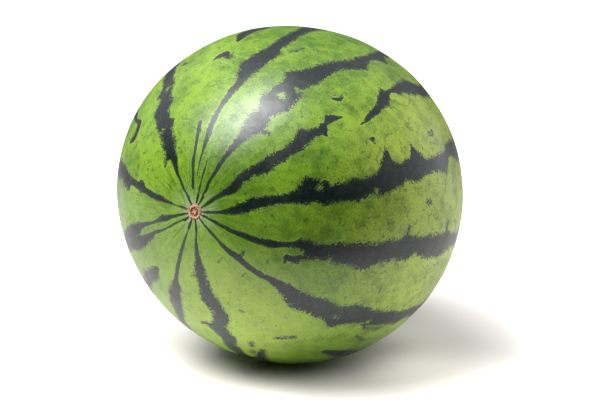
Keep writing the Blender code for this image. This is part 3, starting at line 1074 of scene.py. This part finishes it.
def cork_material(name, look, place, bands, ring_width):
    """Bands are (distance from the axis in mm, colour), from the middle outwards."""
    material, wires, shader = new_material(name)
    vector = axis_coordinates(wires, place)
    grain = wires.group(cork_grain_group(), {"Vector": vector, "Ring Width": ring_width})
    reach = bands[-1][0]
    share = wires.math("DIVIDE", grain["Radius"], reach)
    ramp = wires.add("ShaderNodeValToRGB", {"Fac": share})
    ramp.color_ramp.interpolation = "EASE"
    while len(ramp.color_ramp.elements) < len(bands):
        ramp.color_ramp.elements.new(0.5)
    for element, (radius, colour) in zip(ramp.color_ramp.elements, bands):
        element.position = radius / reach
        element.color = colour
    tone = grain["Tone"]
    colour = wires.mix(wires.step(tone, *PALE_TONES, 0.0, TONE_STRENGTH), ramp.outputs["Color"], look.pale)
    colour = wires.mix(wires.step(tone, *BROWN_TONES, TONE_STRENGTH, 0.0), colour, look.brown)
    rough = wires.step(tone, *ROUGH_TONES, *(look.roughness + change for change in ROUGH_SPREAD))
    wires.feed(shader, {"Base Color": colour, "Roughness": rough, "Normal": wires.bump(grain["Height"])})
    return material


def scar_piece(name, material, shape, relief, at_stem, place):
    """A corky button sunk in its dimple: its relief turned round the axis, with a torn rim."""
    heights, rim = np.array(relief, dtype=float) * MM, relief[-1][0] * MM
    radii = np.linspace(0, rim, SCAR_RINGS)
    angle = np.arcsin(radii / (shape.width / 2))
    if at_stem:
        angle = pi - angle
    outwards = 1 if at_stem else -1
    along = outline(shape, angle)[1]
    top = along + outwards * np.interp(radii, heights[:, 0], heights[:, 1])
    low = along[-1] - outwards * SCAR_SINK
    radii = list(radii) + [rim * share for share in SCAR_BASE]
    alongs = list(top) + [low] * len(SCAR_BASE)
    body = spun_body(radii, alongs, SCAR_SEGMENTS)
    for vert in body.verts:
        radius = Vector((vert.co.x, vert.co.z)).length
        turn = atan2(vert.co.x, vert.co.z)
        share = min(radius / rim, 1)
        on_rim = Vector((cos(turn), sin(turn), 0))
        ring = Vector((0, 0, radius / MM * TORN_DRIFT))
        torn = sum(noise.noise(on_rim * fineness + ring) * reach for fineness, reach in TORN_RIM)
        cracks = abs(noise.noise(on_rim * CRACKS + Vector((0, 0, radius / MM * CRACK_DRIFT))))
        lumps = noise.noise(vert.co / MM * SCAR_LUMPS[0]) * SCAR_LUMPS[1]
        if abs(vert.co.y - low) > SCAR_SINK / 4:
            raised = (lumps - max(CRACK_WIDTH - cracks, 0) * CRACK_DEPTH * share) * MM
            vert.co.y += outwards * raised
        vert.co.x *= 1 + torn * share
        vert.co.z *= 1 + torn * share
    bmesh.ops.transform(body, matrix=place, verts=body.verts)
    piece = finished_piece(name, body, material)
    return piece


def recess(radius, rim):
    """The hollow that a scar sits in."""
    first, last = RECESS_EDGE
    return (1 - smooth_step(radius, first * rim, last * rim)) * RECESS_DEPTH


def settings():
    scene = bpy.context.scene
    return scene.melon_shape, scene.rind_look, scene.cork_look, scene.melon_stage


class WATERMELON_OT_rind(bpy.types.Operator):
    """Spins the rind, swells it into its grown form, rests it on its flat spot and stripes it"""

    bl_idname = "watermelon.rind"
    bl_label = "Make Rind"

    def execute(self, context):
        shape, look, _, _ = settings()
        place = placing(shape)
        front = int(shape.rings * FRONT_SHARE)
        angles = np.concatenate([
            np.linspace(0, FRONT_REACH, front, endpoint=False),
            np.linspace(FRONT_REACH, pi, shape.rings - front + 1)])
        radius, along = outline(shape, angles)
        radius[0] = radius[-1] = 0
        along = along + recess(radius, BLOSSOM_SCAR[-1][0] * MM) * (angles < pi / 2)
        along = along - recess(radius, STEM_SCAR[-1][0] * MM) * (angles > pi / 2)
        body = spun_body(radius, along, shape.segments)
        points = swollen(shape, np.array([vert.co for vert in body.verts]))
        finer, share = FINE_LUMPS
        for vert, point in zip(body.verts, points):
            vert.co = point
            lump = noise.noise(vert.co / LUMP_SIZE) + share * noise.noise(vert.co / LUMP_SIZE * finer)
            vert.co *= 1 + lump * shape.lump_height / (shape.width / 2)
        bmesh.ops.transform(body, matrix=place, verts=body.verts)
        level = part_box(NODE)[0][2]
        bmesh.ops.bisect_plane(
            body, geom=body.verts[:] + body.edges[:] + body.faces[:], plane_co=(0, 0, level),
            plane_no=(0, 0, 1), dist=WELD)
        for vert in body.verts:
            vert.co.z = max(vert.co.z, level)
        piece = finished_piece("rind", body, rind_material(look, place))
        paint_stripes(piece.data, shape, place)
        return {"FINISHED"}


class WATERMELON_OT_scars(bpy.types.Operator):
    """Makes the corky scars where the flower and the stem were"""

    bl_idname = "watermelon.scars"
    bl_label = "Make Scars"

    def execute(self, context):
        shape, _, look, _ = settings()
        place = placing(shape)
        bands = (
            (0.0, look.pale), (1.2, look.tan), (1.8, look.brown), (2.2, look.brown), (2.9, look.tan),
            (3.5, look.pale), (4.2, look.tan), (5.2, look.brown),
        )
        material = cork_material("blossom_cork", look, place, bands, BLOSSOM_RING_WIDTH)
        scar_piece("blossom_scar", material, shape, BLOSSOM_SCAR, False, place)
        bands = (
            (0.0, look.brown), (0.8, look.tan), (2.0, look.pale), (3.0, look.brown), (3.8, look.tan),
            (5.2, look.pale), (6.0, look.tan), (6.6, look.brown),
        )
        material = cork_material("stem_cork", look, place, bands, STEM_RING_WIDTH)
        scar_piece("stem_scar", material, shape, STEM_SCAR, True, place)
        return {"FINISHED"}


def view_axes(look):
    """To the right, up and towards the camera, as the camera sees them."""
    turn, lift = look.azimuth, look.elevation
    right = Vector((cos(turn), sin(turn), 0))
    back = Vector((sin(turn) * cos(lift), -cos(turn) * cos(lift), sin(lift)))
    return right, back.cross(right), back


def floor_material(look):
    """Pale, and glowing near the fruit as painted light, but not close round where it rests. Towards the
    camera it throws no light back, and far away it reads as white."""
    material, wires, shader = new_material("pale_floor")
    source = wires.add("ShaderNodeTexCoord", {}).outputs["Object"]
    right, _, back = view_axes(look)
    front = Vector((back.x, back.y, 0)).normalized()
    seen = wires.add("ShaderNodeLightPath", {}).outputs["Is Camera Ray"]
    unseen = wires.math("SUBTRACT", 1.0, seen)
    mottle = wires.step(wires.noise(source, *MOTTLE_NOISE), *MOTTLE_BAND, 0.0, MOTTLE_WEIGHT)
    shade = wires.mix(mottle, look.floor_white, MOTTLE_WHITE)
    ahead = wires.times(wires.step(wires.along(source, front), *look.floor_ends), unseen)
    shade = wires.mix(ahead, shade, UNLIT)
    reach = wires.length(source)
    # Painted light: the floor glows near the fruit, most at the left in front and at the right, but not
    # close round where it rests
    near = wires.times(wires.step(reach, *GLOW_STARTS), wires.step(reach, *GLOW_ENDS, 1.0, 0.0))
    unit = wires.vector("NORMALIZE", source)
    left_front, rightward, all_round = look.floor_glow
    glow = wires.step(wires.along(unit, (front - right).normalized()), *GLOW_SIDE, all_round, left_front)
    glow = wires.math("MAXIMUM", glow, wires.step(wires.along(unit, right), *GLOW_SIDE, 0.0, rightward))
    glow = wires.times(glow, near)
    # Painted light: for the camera only, the floor round the fruit's shadow is brightened, but not towards
    # the back right
    veil = wires.step(wires.along(unit, (right - front).normalized()), *VEIL_SIDE, look.floor_veil, 0.0)
    veil = wires.times(veil, wires.step(reach, *VEIL_STARTS))
    far = wires.step(reach, *look.floor_fades, 0.0, FAR_STRENGTH)
    plain = wires.times(wires.math("MAXIMUM", veil, far), seen)
    tint = wires.mix(wires.step(reach, *look.floor_fades), look.floor_tint, WHITE)
    wires.feed(shader, {
        "Base Color": shade, "Roughness": FLOOR_ROUGHNESS, "Emission Color": tint,
        "Emission Strength": wires.math("ADD", glow, plain)})
    return material


def studio_world(look):
    """Bright overhead, dim behind and at the left, and dark on the side where the camera stands."""
    world = bpy.data.worlds.new("studio")
    bpy.context.scene.world = world
    world.use_nodes = True
    wires = Wiring(world.node_tree)
    toward = wires.add("ShaderNodeTexCoord", {}).outputs["Generated"]
    right, _, back = view_axes(look)
    front = Vector((back.x, back.y, 0)).normalized()
    ahead, height = wires.along(toward, front), wires.along(toward, (0, 0, 1))
    level = wires.step(wires.along(toward, right), *LEFT_WALL_BAND, look.left_wall, 0.0)
    for value, band in ((ahead, WALL_FRONT_BAND), (ahead, WALL_BACK_BAND), (height, WALL_TOP_BAND)):
        level = wires.times(level, wires.step(value, *band))
    level = wires.math("ADD", level, wires.step(height, *CEILING_BAND, 0.0, look.top))
    level = wires.math("ADD", level, wires.step(ahead, *BACK_WALL_BAND, 0.0, look.back_wall))
    seen = wires.add("ShaderNodeLightPath", {}).outputs["Is Camera Ray"]
    level = wires.math("MAXIMUM", level, seen)
    wires.feed(world.node_tree.nodes["Background"], {"Strength": level, "Color": WHITE})


def softbox(name, aim, direction, long_side, size, power):
    """An area light that faces the aim, with its long side along the given direction."""
    data = bpy.data.lights.new(name, "AREA")
    data.shape = "RECTANGLE"
    data.size, data.size_y = size
    data.energy = power
    light = bpy.data.objects.new(name, data)
    outward = direction.normalized()
    side = (long_side - outward * long_side.dot(outward)).normalized()
    light.location = aim + outward * LIGHT_DISTANCE
    light.rotation_euler = Matrix((side, outward.cross(side), outward)).transposed().to_euler()
    bpy.context.collection.objects.link(light)


class WATERMELON_OT_stage(bpy.types.Operator):
    """Makes the pale floor, the soft studio light and the camera"""

    bl_idname = "watermelon.stage"
    bl_label = "Make Stage"

    def execute(self, context):
        _, _, _, look = settings()
        body = bmesh.new()
        bmesh.ops.create_grid(body, x_segments=FLOOR_SQUARES, y_segments=FLOOR_SQUARES, size=FLOOR_REACH)
        mesh = bpy.data.meshes.new("floor")
        body.to_mesh(mesh)
        body.free()
        mesh.materials.append(floor_material(look))
        floor = bpy.data.objects.new("floor", mesh)
        context.collection.objects.link(floor)
        low, high = (Vector(corner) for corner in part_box(NODE))
        middle = (low + high) / 2
        right, up, back = view_axes(look)
        camera = bpy.data.objects.new("camera", bpy.data.cameras.new("camera"))
        camera.data.lens = look.lens
        camera.data.clip_start = CLIP_START
        shift = right * look.middle_right - up * look.middle_down
        camera.location = middle + back * look.distance + shift
        camera.rotation_euler = (-back).to_track_quat("-Z", "Y").to_euler()
        context.collection.objects.link(camera)
        context.scene.camera = camera
        axes = Matrix((right, up, back)).transposed()
        lights = {name: (*light[:3], light[3] * look.fill) for name, light in FILL_LIGHTS.items()}
        lights["key"] = (*KEY, look.key)
        lights["key_core"] = (*KEY_CORE, look.key_core)
        for name, (place, long_side, size, power) in lights.items():
            softbox(name, middle, axes @ Vector(place), axes @ Vector(long_side), size, power)
        context.scene.view_settings.view_transform = "Standard"
        studio_world(look)
        return {"FINISHED"}


class WATERMELON_PT_panel(bpy.types.Panel):
    """Lists the pieces of the watermelon and their settings"""

    bl_label = "Watermelon"
    bl_idname = "WATERMELON_PT_panel"
    bl_space_type = "VIEW_3D"
    bl_region_type = "UI"
    bl_category = "Watermelon"

    def draw(self, context):
        for step in STEPS:
            self.layout.operator(step.bl_idname)
        for name in GROUPS:
            box = self.layout.box()
            group = getattr(context.scene, name)
            for field in group.__annotations__:
                box.prop(group, field)


GROUPS = {
    "melon_shape": MelonShape, "rind_look": RindLook, "cork_look": CorkLook, "melon_stage": MelonStage,
}
STEPS = (WATERMELON_OT_rind, WATERMELON_OT_scars, WATERMELON_OT_stage)
CLASSES = tuple(GROUPS.values()) + STEPS + (WATERMELON_PT_panel,)


def register():
    for each in CLASSES:
        bpy.utils.register_class(each)
    for name, group in GROUPS.items():
        setattr(bpy.types.Scene, name, PointerProperty(type=group))


def unregister():
    for name in GROUPS:
        delattr(bpy.types.Scene, name)
    for each in reversed(CLASSES):
        bpy.utils.unregister_class(each)


def main():
    register()
    bpy.ops.watermelon.rind()
    bpy.ops.watermelon.scars()
    bpy.ops.watermelon.stage()


if __name__ == "__main__":
    main()
